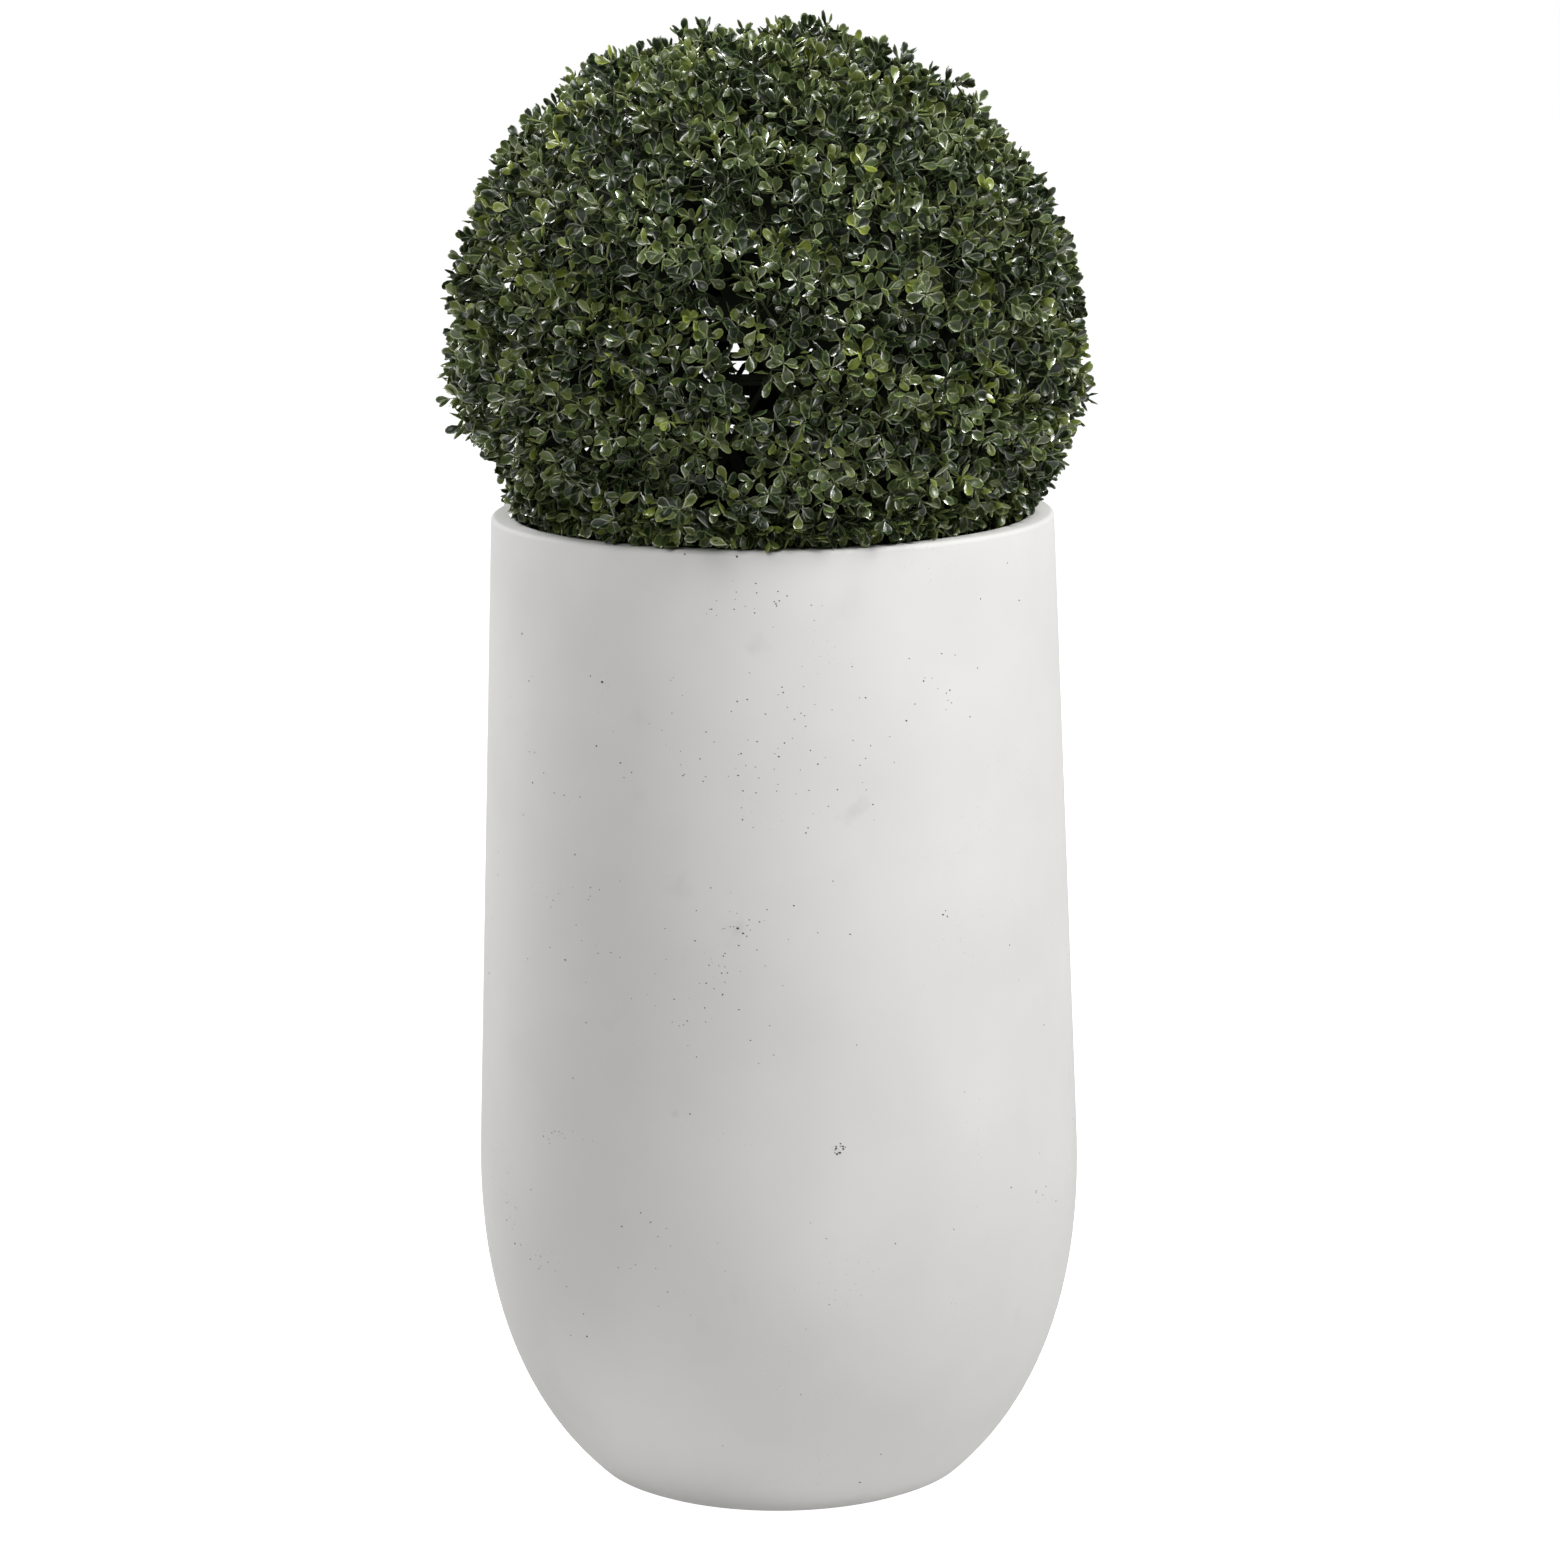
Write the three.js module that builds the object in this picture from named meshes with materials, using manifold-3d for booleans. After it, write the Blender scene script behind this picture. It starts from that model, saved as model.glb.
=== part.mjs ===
// An artificial box topiary ball standing in the mouth of a tall round planter.
// Lengths are millimetres and +Z is up. The origin is the middle of the planter's
// flat underside, and the front of the object faces -Y.
import * as THREE from 'three';
import { mergeVertices } from 'three/addons/utils/BufferGeometryUtils.js';
import Module from 'manifold-3d';

const wasm = await Module();
wasm.setup();

// Planter: a tapered drum whose lower part rounds in to a flat foot
const PLANTER_HEIGHT = 840;
const MOUTH_RADIUS = 239.8;
const SIDE_TAPER = 0.038;
const BELLY_HEIGHT = 302;
const BELLY_ROUNDNESS = 2.22;
const FOOT_RADIUS = 161;
const FOOT_EDGE = 3;
const WALL_THICKNESS = 22;
const FLOOR_THICKNESS = 30;
const LIP_OUTER_ROUND = 9;
const LIP_INNER_ROUND = 6;
const LIP_STEPS = 2;
const BELLY_STEPS = 8;
const SIDE_STEPS = 2;
const PLANTER_SEGMENTS = 44;

// Ballast that fills the planter, and the short stem standing on it
const FILL_TOP = 690;
const SEAT_GAP = 0.3;
const STEM_FOOT_RADIUS = 26;
const STEM_FLARE_HEIGHT = 34;
const STEM_RADIUS = 15;
const STEM_TIP_RADIUS = 11;
const STEM_SEGMENTS = 16;

// Foliage ball: two half balls that meet at the ball's waist
const BALL_CENTRE = 976;
const CORE_RADIUS = 238;
const BALL_REACH = 280;
const WAIST_OVERHANG = 40;
const SPACE_CLEARANCE = 0.6;
const SPACE_SAMPLES = 6;
const CORE_SEGMENTS = 24;
const CORE_RINGS = 6;

// Sprigs stand out of the core at even spacing, each forked into two twigs
const FOLIAGE_SEED = 5501;
const SPRIG_COUNT = 84;
const LOWEST_SPRIG = -0.8;
const GOLDEN_ANGLE = Math.PI * (3 - Math.sqrt(5));
const ROOT_DEPTH = 12;
const SPRIG_LEAN = 0.2;
const TWIG_LEAN = 0.6;
const TWIG_LENGTH = 34;
const TWIG_RADIUS = 4;
const TWIG_SIDES = 3;
const TIP_SHARE = 0.8;

// Leaves: drawn larger than life, because each stands for a small spray
const LEAF_LENGTH = 52;
const LEAF_WIDTH = 34;
const LEAF_THICKNESS = 2.6;
const LEAF_CUP = 4;
const LEAF_WIDEST = 0.6;
const LEAF_SIZE_SPREAD = 0.25;
const LEAF_TURN = 1.3;
const LEAF_TILT = 1.32;
const LEAF_TILT_SPREAD = 0.25;
const LEAF_ROLL = 0.3;
const LEAF_DROP = 3;
const LEAF_TRIES = 14;
const LEAF_TURN_STEP = 0.1;
const LEAF_TILT_STEP = 0.02;

// A seeded generator of numbers from 0 to 1, one for each sprig
const RANDOM_MODULUS = 2147483647;
const RANDOM_FACTOR = 16807;
const RANDOM_WARM_UP = 4;

function makeRandom(seed) {
  let state = seed % RANDOM_MODULUS;
  const random = () => {
    state = (state * RANDOM_FACTOR) % RANDOM_MODULUS;
    return state / RANDOM_MODULUS;
  };
  for (let draw = 0; draw < RANDOM_WARM_UP; draw += 1) random();
  return random;
}

// Closed geometry to solid and back
const MERGE_DISTANCE = 1e-3;

function toSolid(geometry) {
  const bare = geometry.clone();
  bare.deleteAttribute('normal');
  bare.deleteAttribute('uv');
  const merged = mergeVertices(bare, MERGE_DISTANCE);
  const vertProperties = new Float32Array(merged.attributes.position.array);
  const triVerts = new Uint32Array(merged.index.array);
  return new wasm.Manifold(new wasm.Mesh({ numProp: 3, vertProperties, triVerts }));
}

function toGeometry(solid) {
  const mesh = solid.getMesh();
  const geometry = new THREE.BufferGeometry();
  geometry.setAttribute('position', new THREE.BufferAttribute(mesh.vertProperties, 3));
  geometry.setIndex(new THREE.BufferAttribute(mesh.triVerts, 1));
  return geometry;
}

// Fused pieces as one body: sealed hollows are filled and loose scraps dropped
function largestBody(solid) {
  const bodies = solid.decompose();
  bodies.sort((one, other) => other.volume() - one.volume());
  return bodies[0];
}

// A profile of [radius, height] points turned about the Z axis
function turned(profile, segments) {
  const points = profile.map(([radius, height]) => new THREE.Vector2(radius, height));
  const geometry = new THREE.LatheGeometry(points, segments);
  geometry.rotateX(Math.PI / 2);
  return geometry;
}

// Planter profile: a cone times a rounded belly curve
const CONE_FOOT = MOUTH_RADIUS + SIDE_TAPER * PLANTER_HEIGHT;
const FOOT_SHARE = 1 - (FOOT_RADIUS / CONE_FOOT) ** BELLY_ROUNDNESS;
const BELLY_DEPTH = BELLY_HEIGHT / FOOT_SHARE ** (1 / BELLY_ROUNDNESS);

function outerRadius(height) {
  const cone = MOUTH_RADIUS + SIDE_TAPER * (PLANTER_HEIGHT - height);
  const drop = Math.max(BELLY_HEIGHT - height, 0) / BELLY_DEPTH;
  return cone * (1 - drop ** BELLY_ROUNDNESS) ** (1 / BELLY_ROUNDNESS);
}

// A point of the wall, moved in from the outer face along its normal
const SLOPE_STEP = 1;

function wallPoint(height, inset) {
  const rise = outerRadius(height + SLOPE_STEP) - outerRadius(height - SLOPE_STEP);
  const slope = rise / (2 * SLOPE_STEP);
  const length = Math.hypot(1, slope);
  return [outerRadius(height) - inset / length, height + (inset * slope) / length];
}

// Heights of the wall's rings, closer together where the belly curves most
function ringHeights(top) {
  const heights = [];
  const foot = Math.acos(BELLY_HEIGHT / BELLY_DEPTH);
  for (let step = 1; step <= BELLY_STEPS; step += 1) {
    const angle = foot + (step / BELLY_STEPS) * (Math.PI / 2 - foot);
    heights.push(BELLY_HEIGHT - BELLY_DEPTH * Math.cos(angle));
  }
  for (let step = 1; step <= SIDE_STEPS; step += 1) {
    heights.push(BELLY_HEIGHT + ((top - BELLY_HEIGHT) * step) / SIDE_STEPS);
  }
  return heights;
}

function roundedCorner(centreRadius, centreHeight, round, startAngle) {
  const points = [];
  for (let step = 0; step <= LIP_STEPS; step += 1) {
    const angle = startAngle + (step / LIP_STEPS) * (Math.PI / 2);
    points.push([centreRadius + round * Math.cos(angle), centreHeight + round * Math.sin(angle)]);
  }
  return points;
}

const INNER_MOUTH_RADIUS = outerRadius(PLANTER_HEIGHT) - WALL_THICKNESS;

// The planter's inside from the floor's corner up, with the corner cut at 45 degrees
function innerWall(gap) {
  const rings = ringHeights(PLANTER_HEIGHT - LIP_INNER_ROUND).slice(0, -1);
  const wall = rings.map((height) => wallPoint(height, WALL_THICKNESS + gap));
  const floor = FLOOR_THICKNESS + gap;
  const [radius, height] = wall[0];
  return [[0, floor], [radius - (height - floor), floor], ...wall];
}

function makePlanter() {
  const outerTop = PLANTER_HEIGHT - LIP_OUTER_ROUND;
  const innerTop = PLANTER_HEIGHT - LIP_INNER_ROUND;
  const outer = ringHeights(outerTop).map((height) => wallPoint(height, 0));
  return turned([
    [0, 0],
    [FOOT_RADIUS - FOOT_EDGE, 0],
    [outerRadius(FOOT_EDGE), FOOT_EDGE],
    ...outer.slice(0, -1),
    ...roundedCorner(outer.at(-1)[0] - LIP_OUTER_ROUND, outerTop, LIP_OUTER_ROUND, 0),
    ...roundedCorner(INNER_MOUTH_RADIUS + LIP_INNER_ROUND, innerTop, LIP_INNER_ROUND, Math.PI / 2),
    ...innerWall(0).reverse(),
  ], PLANTER_SEGMENTS);
}

// Ballast: fills the planter's inside up to a level top
function makeFill() {
  const wall = innerWall(SEAT_GAP).filter(([, height]) => height < FILL_TOP);
  const topRadius = outerRadius(FILL_TOP) - WALL_THICKNESS - 2 * SEAT_GAP;
  return turned([...wall, [topRadius, FILL_TOP], [0, FILL_TOP]], PLANTER_SEGMENTS);
}

// Short stem: flares at its foot and tapers to a flat top at the ball's waist
const STEM_BASE = FILL_TOP + SEAT_GAP;
const STEM_TOP = BALL_CENTRE - SEAT_GAP;

function stemProfile(clearance) {
  return [
    [0, STEM_BASE - clearance],
    [STEM_FOOT_RADIUS + clearance, STEM_BASE - clearance],
    [(STEM_FOOT_RADIUS + STEM_RADIUS) / 2 + clearance, STEM_BASE + STEM_FLARE_HEIGHT / 3],
    [STEM_RADIUS + clearance, STEM_BASE + STEM_FLARE_HEIGHT],
    [STEM_TIP_RADIUS + clearance, STEM_TOP + clearance],
    [0, STEM_TOP + clearance],
  ];
}

// One half of the core, side +1 above the waist and -1 below it
function makeCoreHalf(side) {
  const waist = BALL_CENTRE + (side * SEAT_GAP) / 2;
  const arc = [];
  for (let ring = 0; ring < CORE_RINGS; ring += 1) {
    const angle = (ring / CORE_RINGS) * (Math.PI / 2);
    arc.push([CORE_RADIUS * Math.cos(angle), waist + side * CORE_RADIUS * Math.sin(angle)]);
  }
  const profile = [[0, waist], ...arc, [0, waist + side * CORE_RADIUS]];
  return toSolid(turned(side > 0 ? profile : profile.reverse(), CORE_SEGMENTS));
}

// A leaf is an octahedron drawn out to an oval blade with raised margins
function makeLeaf(scale) {
  const geometry = new THREE.OctahedronGeometry(1);
  const position = geometry.attributes.position;
  for (let index = 0; index < position.count; index += 1) {
    const along = position.getX(index);
    const across = position.getY(index);
    const skin = position.getZ(index);
    const onAxis = Math.abs(along) > 0.5;
    const distance = onAxis ? (along + 1) / 2 : LEAF_WIDEST;
    const sag = skin === 0 ? 0 : -LEAF_CUP;
    position.setXYZ(
      index,
      scale * distance * LEAF_LENGTH,
      (scale * across * LEAF_WIDTH) / 2,
      scale * (sag + (skin * LEAF_THICKNESS) / 2),
    );
  }
  return geometry;
}

function makeTwig() {
  const geometry = new THREE.CylinderGeometry(TWIG_RADIUS * TIP_SHARE, TWIG_RADIUS, TWIG_LENGTH, TWIG_SIDES);
  geometry.translate(0, TWIG_LENGTH / 2, 0);
  geometry.rotateZ(-Math.PI / 2);
  return geometry;
}

// Lay a piece with its length along one direction and its back towards another
function laid(geometry, start, along, back) {
  const forward = along.clone().normalize();
  const sideways = new THREE.Vector3().crossVectors(back, forward).normalize();
  const upward = new THREE.Vector3().crossVectors(forward, sideways);
  const matrix = new THREE.Matrix4().makeBasis(forward, sideways, upward).setPosition(start);
  return geometry.applyMatrix4(matrix);
}

// A direction leaning off the outward one by an angle, turned about it
const POLE_ZONE = 0.9;

function leaning(outward, angle, turn) {
  const atPole = Math.abs(outward.z) > POLE_ZONE;
  const reference = atPole ? new THREE.Vector3(1, 0, 0) : new THREE.Vector3(0, 0, 1);
  const east = new THREE.Vector3().crossVectors(reference, outward).normalize();
  const north = new THREE.Vector3().crossVectors(outward, east);
  const level = east.multiplyScalar(Math.cos(turn)).add(north.multiplyScalar(Math.sin(turn)));
  return outward.clone().multiplyScalar(Math.cos(angle)).add(level.multiplyScalar(Math.sin(angle)));
}

const BALL_MIDDLE = new THREE.Vector3(0, 0, BALL_CENTRE);

// The space of a half ball: its own side of the waist with a small overhang, within
// the ball's reach and off the planter
function pointFits(point, side) {
  const fromCentre = point.clone().sub(BALL_MIDDLE);
  if (side * fromCentre.z < -WAIST_OVERHANG || fromCentre.length() > BALL_REACH) return false;
  const mouth = INNER_MOUTH_RADIUS - SPACE_CLEARANCE;
  return point.z > PLANTER_HEIGHT + SPACE_CLEARANCE || Math.hypot(point.x, point.y) < mouth;
}

function pieceFits(geometry, side) {
  const position = geometry.attributes.position;
  const start = new THREE.Vector3();
  const end = new THREE.Vector3();
  for (let first = 0; first < position.count; first += 1) {
    start.fromBufferAttribute(position, first);
    for (let second = first; second < position.count; second += 1) {
      end.fromBufferAttribute(position, second);
      for (let sample = 0; sample < SPACE_SAMPLES; sample += 1) {
        const between = start.clone().lerp(end, sample / (SPACE_SAMPLES - 1));
        if (!pointFits(between, side)) return false;
      }
    }
  }
  return true;
}

// Directions of the sprigs, on a golden spiral from the top down
function sprigDirection(index) {
  const height = 1 - ((index + 0.5) / SPRIG_COUNT) * (1 - LOWEST_SPRIG);
  const ring = Math.sqrt(1 - height * height);
  const turn = index * GOLDEN_ANGLE;
  return new THREE.Vector3(ring * Math.cos(turn), ring * Math.sin(turn), height);
}

// Nothing new crosses what already grows, apart from its own carrier
function touchesOthers(solid, middle, carrier) {
  for (const other of grown) {
    if (other === carrier || other.middle.distanceTo(middle) > other.extent + LEAF_LENGTH / 2) continue;
    const shared = solid.intersect(other.solid);
    if (!shared.isEmpty() && !shared.subtract(carrier.solid).isEmpty()) return true;
  }
  return false;
}

function keep(geometry, length, carrier) {
  if (!pieceFits(geometry, carrier.side)) return null;
  geometry.computeBoundingBox();
  const middle = geometry.boundingBox.getCenter(new THREE.Vector3());
  const solid = toSolid(geometry);
  if (touchesOthers(solid, middle, carrier)) return null;
  const piece = { side: carrier.side, solid, middle, extent: length / 2 };
  grown.push(piece);
  return piece;
}

// A leaf is tried at a few turns and tilts, and skipped where none fits
function growLeaf(carrier, start, turn, random) {
  const outward = start.clone().sub(BALL_MIDDLE).normalize();
  const scale = 1 - LEAF_SIZE_SPREAD * random();
  const tilt = LEAF_TILT - LEAF_TILT_SPREAD * random();
  for (let attempt = 0; attempt < LEAF_TRIES; attempt += 1) {
    const hand = attempt % 2 === 0 ? 1 : -1;
    const along = leaning(outward, tilt - attempt * LEAF_TILT_STEP, turn + hand * attempt * LEAF_TURN_STEP);
    const roll = leaning(outward, LEAF_ROLL * random(), random() * 2 * Math.PI);
    if (keep(laid(makeLeaf(scale), start, along, roll), LEAF_LENGTH, carrier)) return;
  }
}

// One sprig: it forks inside the core into two twigs that lean apart, and each
// twig holds three leaves near its tip
function growSprig(core, outward, random) {
  const turn = random() * 2 * Math.PI;
  const lean = leaning(outward, SPRIG_LEAN * random(), random() * 2 * Math.PI);
  const fork = BALL_MIDDLE.clone().addScaledVector(outward, CORE_RADIUS - ROOT_DEPTH);
  for (const half of [0, 1]) {
    const twigTurn = turn + half * Math.PI;
    const along = leaning(lean, TWIG_LEAN, twigTurn);
    const face = leaning(lean, Math.PI / 2, twigTurn).negate();
    const twig = keep(laid(makeTwig(), fork, along, face), TWIG_LENGTH, core);
    if (!twig) continue;
    for (const hand of [0, 1, -1]) {
      const start = fork.clone().addScaledVector(along, TWIG_LENGTH - LEAF_DROP * (1 + Math.abs(hand)));
      growLeaf(twig, start, twigTurn + hand * LEAF_TURN, random);
    }
  }
}

const cores = [1, -1].map((side) => {
  return { side, solid: makeCoreHalf(side), middle: BALL_MIDDLE, extent: BALL_REACH };
});
const grown = [...cores];
for (let index = 0; index < SPRIG_COUNT; index += 1) {
  const outward = sprigDirection(index);
  const core = cores[outward.z > 0 ? 0 : 1];
  growSprig(core, outward, makeRandom(FOLIAGE_SEED * (index + 1)));
}

function makeFoliage(side) {
  const own = grown.filter((piece) => piece.side === side);
  const fused = wasm.Manifold.union(own.map((piece) => piece.solid));
  const socket = toSolid(turned(stemProfile(SEAT_GAP), STEM_SEGMENTS));
  const cleared = side < 0 ? fused.subtract(socket) : fused;
  return toGeometry(largestBody(cleared));
}

function material(name, color, roughness) {
  return new THREE.MeshStandardMaterial({ name, color, roughness, metalness: 0 });
}

const fibreCement = material('fibre_cement', '#cfcfcd', 0.85);
const ballast = material('ballast', '#6e675d', 0.95);
const stemWood = material('stem', '#5f4a36', 0.8);
const leafPlastic = material('leaf_plastic', '#4c5a24', 0.4);

function addMesh(group, name, geometry, finish) {
  const mesh = new THREE.Mesh(geometry, finish);
  mesh.name = name;
  group.add(mesh);
}

const topiary = new THREE.Group();
addMesh(topiary, 'planter', makePlanter(), fibreCement);
addMesh(topiary, 'ballast_fill', makeFill(), ballast);
addMesh(topiary, 'short_stem', turned(stemProfile(0), STEM_SEGMENTS), stemWood);
addMesh(topiary, 'lower_foliage', makeFoliage(-1), leafPlastic);
addMesh(topiary, 'upper_foliage', makeFoliage(1), leafPlastic);

export default topiary;
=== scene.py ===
import math

import bmesh
import bpy
import numpy as np
from mathutils import Matrix, Vector, noise


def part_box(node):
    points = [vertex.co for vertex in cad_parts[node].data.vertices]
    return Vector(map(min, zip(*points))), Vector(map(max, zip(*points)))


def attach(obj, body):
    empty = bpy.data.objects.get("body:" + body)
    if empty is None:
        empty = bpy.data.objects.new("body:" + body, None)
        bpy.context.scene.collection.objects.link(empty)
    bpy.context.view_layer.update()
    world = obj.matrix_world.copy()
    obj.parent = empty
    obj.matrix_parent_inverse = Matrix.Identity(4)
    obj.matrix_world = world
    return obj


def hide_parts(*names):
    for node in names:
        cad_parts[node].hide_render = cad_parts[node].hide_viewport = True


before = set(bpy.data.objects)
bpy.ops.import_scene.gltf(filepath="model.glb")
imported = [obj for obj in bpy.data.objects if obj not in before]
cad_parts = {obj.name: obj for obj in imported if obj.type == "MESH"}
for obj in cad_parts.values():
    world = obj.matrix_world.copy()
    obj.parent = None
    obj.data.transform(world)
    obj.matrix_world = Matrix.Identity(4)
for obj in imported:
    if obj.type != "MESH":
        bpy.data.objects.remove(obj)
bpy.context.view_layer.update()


# Planter: a tall round tub cast in fibre-cement against a smooth mould, matt and off-white.
# Its side widens a little down to the belly, which rounds in to a flat foot. Air trapped in
# the casting left pinholes in its skin, a few loose groups of them and one chipped spot.
MM = 0.001
PLANTER_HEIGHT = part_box("planter")[1].z
MOUTH_RADIUS = 239.8 * MM
SIDE_TAPER = 0.038
BELLY_HEIGHT = 302 * MM
BELLY_ROUNDNESS = 2.22
FOOT_RADIUS = 161 * MM
FOOT_EDGE = 3 * MM
WALL_THICKNESS = 22 * MM
FLOOR_THICKNESS = 30 * MM
LIP_OUTER_ROUND = 4 * MM
LIP_INNER_ROUND = 5 * MM
LIP_STEPS = 6
BELLY_STEPS = 26
SIDE_STEPS = 12
PLANTER_STEPS = 180
SHARP_EDGE = math.radians(34)

CONE_FOOT = MOUTH_RADIUS + SIDE_TAPER * PLANTER_HEIGHT
FOOT_SHARE = 1 - (FOOT_RADIUS / CONE_FOOT) ** BELLY_ROUNDNESS
BELLY_DEPTH = BELLY_HEIGHT / FOOT_SHARE ** (1 / BELLY_ROUNDNESS)


def outer_radius(height):
    cone = MOUTH_RADIUS + SIDE_TAPER * (PLANTER_HEIGHT - height)
    drop = max(BELLY_HEIGHT - height, 0) / BELLY_DEPTH
    return cone * (1 - drop**BELLY_ROUNDNESS) ** (1 / BELLY_ROUNDNESS)


def wall_point(height, inset):
    slope = (outer_radius(height + MM) - outer_radius(height - MM)) / (2 * MM)
    length = math.hypot(1, slope)
    return outer_radius(height) - inset / length, height + inset * slope / length


def wall_heights(top):
    foot = math.acos(BELLY_HEIGHT / BELLY_DEPTH)
    angles = np.linspace(foot, math.pi / 2, BELLY_STEPS + 1)
    belly = BELLY_HEIGHT - BELLY_DEPTH * np.cos(angles)
    side = np.linspace(BELLY_HEIGHT, top, SIDE_STEPS + 1)
    return [*belly[1:-1], *side]


def rounded_corner(radius, height, size, start):
    angles = start + np.linspace(0, math.pi / 2, LIP_STEPS + 1)
    return [(radius + size * math.cos(a), height + size * math.sin(a)) for a in angles]


INNER_MOUTH_RADIUS = outer_radius(PLANTER_HEIGHT) - WALL_THICKNESS


def planter_profile():
    outer_top = PLANTER_HEIGHT - LIP_OUTER_ROUND
    inner_top = PLANTER_HEIGHT - LIP_INNER_ROUND
    outer = [wall_point(height, 0) for height in wall_heights(outer_top)]
    inner = [wall_point(height, WALL_THICKNESS) for height in wall_heights(inner_top)[:-1]]
    corner_radius, corner_height = inner[0]
    return [
        (0, 0),
        (FOOT_RADIUS - FOOT_EDGE, 0),
        (outer_radius(FOOT_EDGE), FOOT_EDGE),
        *outer[:-1],
        *rounded_corner(outer[-1][0] - LIP_OUTER_ROUND, outer_top, LIP_OUTER_ROUND, 0),
        *rounded_corner(
            INNER_MOUTH_RADIUS + LIP_INNER_ROUND, inner_top, LIP_INNER_ROUND, math.pi / 2
        ),
        *inner[::-1],
        (corner_radius - (corner_height - FLOOR_THICKNESS), FLOOR_THICKNESS),
        (0, FLOOR_THICKNESS),
    ]


def turned(profile, steps):
    """A profile of (radius, height) points turned full round the Z axis."""
    bm = bmesh.new()
    points = [bm.verts.new((radius, 0, height)) for radius, height in profile]
    edges = [bm.edges.new(pair) for pair in zip(points, points[1:])]
    bmesh.ops.spin(
        bm, geom=points + edges, cent=(0, 0, 0), axis=(0, 0, 1), angle=2 * math.pi,
        steps=steps, use_merge=True, use_duplicate=False,
    )
    bmesh.ops.remove_doubles(bm, verts=bm.verts, dist=0.01 * MM)
    bmesh.ops.recalc_face_normals(bm, faces=bm.faces)
    return bm


def smooth_faces(bm):
    """Smooth shading with a crease wherever two faces meet at a sharp angle."""
    for face in bm.faces:
        face.smooth = True
    for edge in bm.edges:
        edge.smooth = edge.calc_face_angle(0) < SHARP_EDGE


def new_object(name, data):
    """A new object in the scene."""
    thing = bpy.data.objects.new(name, data)
    bpy.context.scene.collection.objects.link(thing)
    return thing


def make_piece(mesh, materials, slot, *nodes):
    """A finished mesh as one piece, of the same name, that rides on the only body."""
    piece = new_object(mesh.name, mesh)
    for material in materials:
        mesh.materials.append(material)
    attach(piece, "root")
    if nodes:
        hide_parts(*nodes)
    return piece


def to_mesh(bm, name):
    mesh = bpy.data.meshes.new(name)
    bm.to_mesh(mesh)
    bm.free()
    return mesh


# Where the pinholes are: the turn about the axis from the front in degrees, the height in
# mm, the hole's radius in mm.
PINHOLES = (
    (-59.4, 756, 1.4), (-6.9, 836, 1.3), (-17.2, 837, 1.0), (57.3, 781, 1.1),
    (-40.4, 168, 1.1), (-60.3, 231, 1.4), (-75.7, 452, 1.1), (33.0, 533, 1.0),
    (34.0, 531, 0.8), (33.6, 536, 0.7), (-30.1, 274, 0.8), (-26.1, 288, 0.8),
    (21.5, 262, 0.8), (48.4, 289, 0.8), (20.1, 33, 1.1), (4.8, 193, 0.6),
    (-44.1, 210, 0.7), (-35.1, 728, 1.3), (-7.2, 532, 1.3), (-6.2, 528, 1.1),
)
# Loose groups of them: the middle's turn and height, the spread across and up in mm and
# how many there are.
PINHOLE_GROUPS = (
    (1.9, 671, 46, 38, 70), (-4.4, 798, 32, 9, 22), (-7.7, 535, 15, 12, 20),
    (-7.0, 495, 18, 14, 12), (-37.6, 512, 34, 38, 28), (-14.4, 455, 26, 20, 16),
    (-43.6, 341, 22, 9, 14), (-61.7, 255, 5, 17, 12), (-53.0, 226, 14, 5, 10),
    (-23.3, 257, 26, 22, 14), (37.8, 717, 20, 26, 12), (57.9, 272, 16, 12, 8),
    (-55, 640, 30, 40, 10), (-26, 690, 40, 34, 14), (130, 640, 40, 34, 46),
    (-150, 420, 34, 40, 36), (96, 480, 40, 36, 30), (172, 250, 30, 20, 24),
)
STRAY_PINHOLES = 110
STRAY_HEIGHTS = (60, 825)
GROUP_HOLE = (0.4, 0.85)
# A hole is cut by a ball that stands off the skin by a share of its radius and is drawn out
# across and up.
HOLE_STANDOFF = 0.25
HOLE_ACROSS = (0.8, 1.5)
HOLE_UP = (0.7, 1.2)
# The chipped spot: a broken arc of pits, with its turn, its height and its half size in mm.
# The arc is in half turns.
CHIP = (11.2, 346, 3.8)
CHIP_PITS = 11
CHIP_ARC = 1.6
CHIP_SCATTER = 0.25
CHIP_REACH = (0.6, 1.35)
CHIP_PIT = (0.45, 1.2)
# Faint rubbed smudges, as turn, height, half size in mm and strength.
SMUDGES = (
    (-4.1, 763, 11, 0.5), (14.9, 795, 20, 0.16), (12.5, 780, 16, 0.14),
    (14.6, 627, 11, 0.45), (-18.8, 562, 17, 0.3), (-18.2, 574, 10, 0.2),
    (-35.1, 728, 7, 0.4), (-20.2, 376, 6, 0.4), (-47.8, 514, 7, 0.3),
    (-26.5, 700, 14, 0.16), (-7.4, 533, 12, 0.4), (11.4, 346, 9, 0.3),
    (128, 520, 20, 0.4), (-140, 330, 16, 0.4), (80, 300, 18, 0.2),
)
# How far the uneven rubbing pushes a smudge's outline about, and its share at full strength.
SMUDGE_PUSH = 20 * MM
SMUDGE_CORE = 0.2
rng = np.random.default_rng(5501)


def turn_across(distance):
    """The turn in degrees that a distance in mm across the planter's skin makes."""
    return math.degrees(distance * MM / MOUTH_RADIUS)


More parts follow.
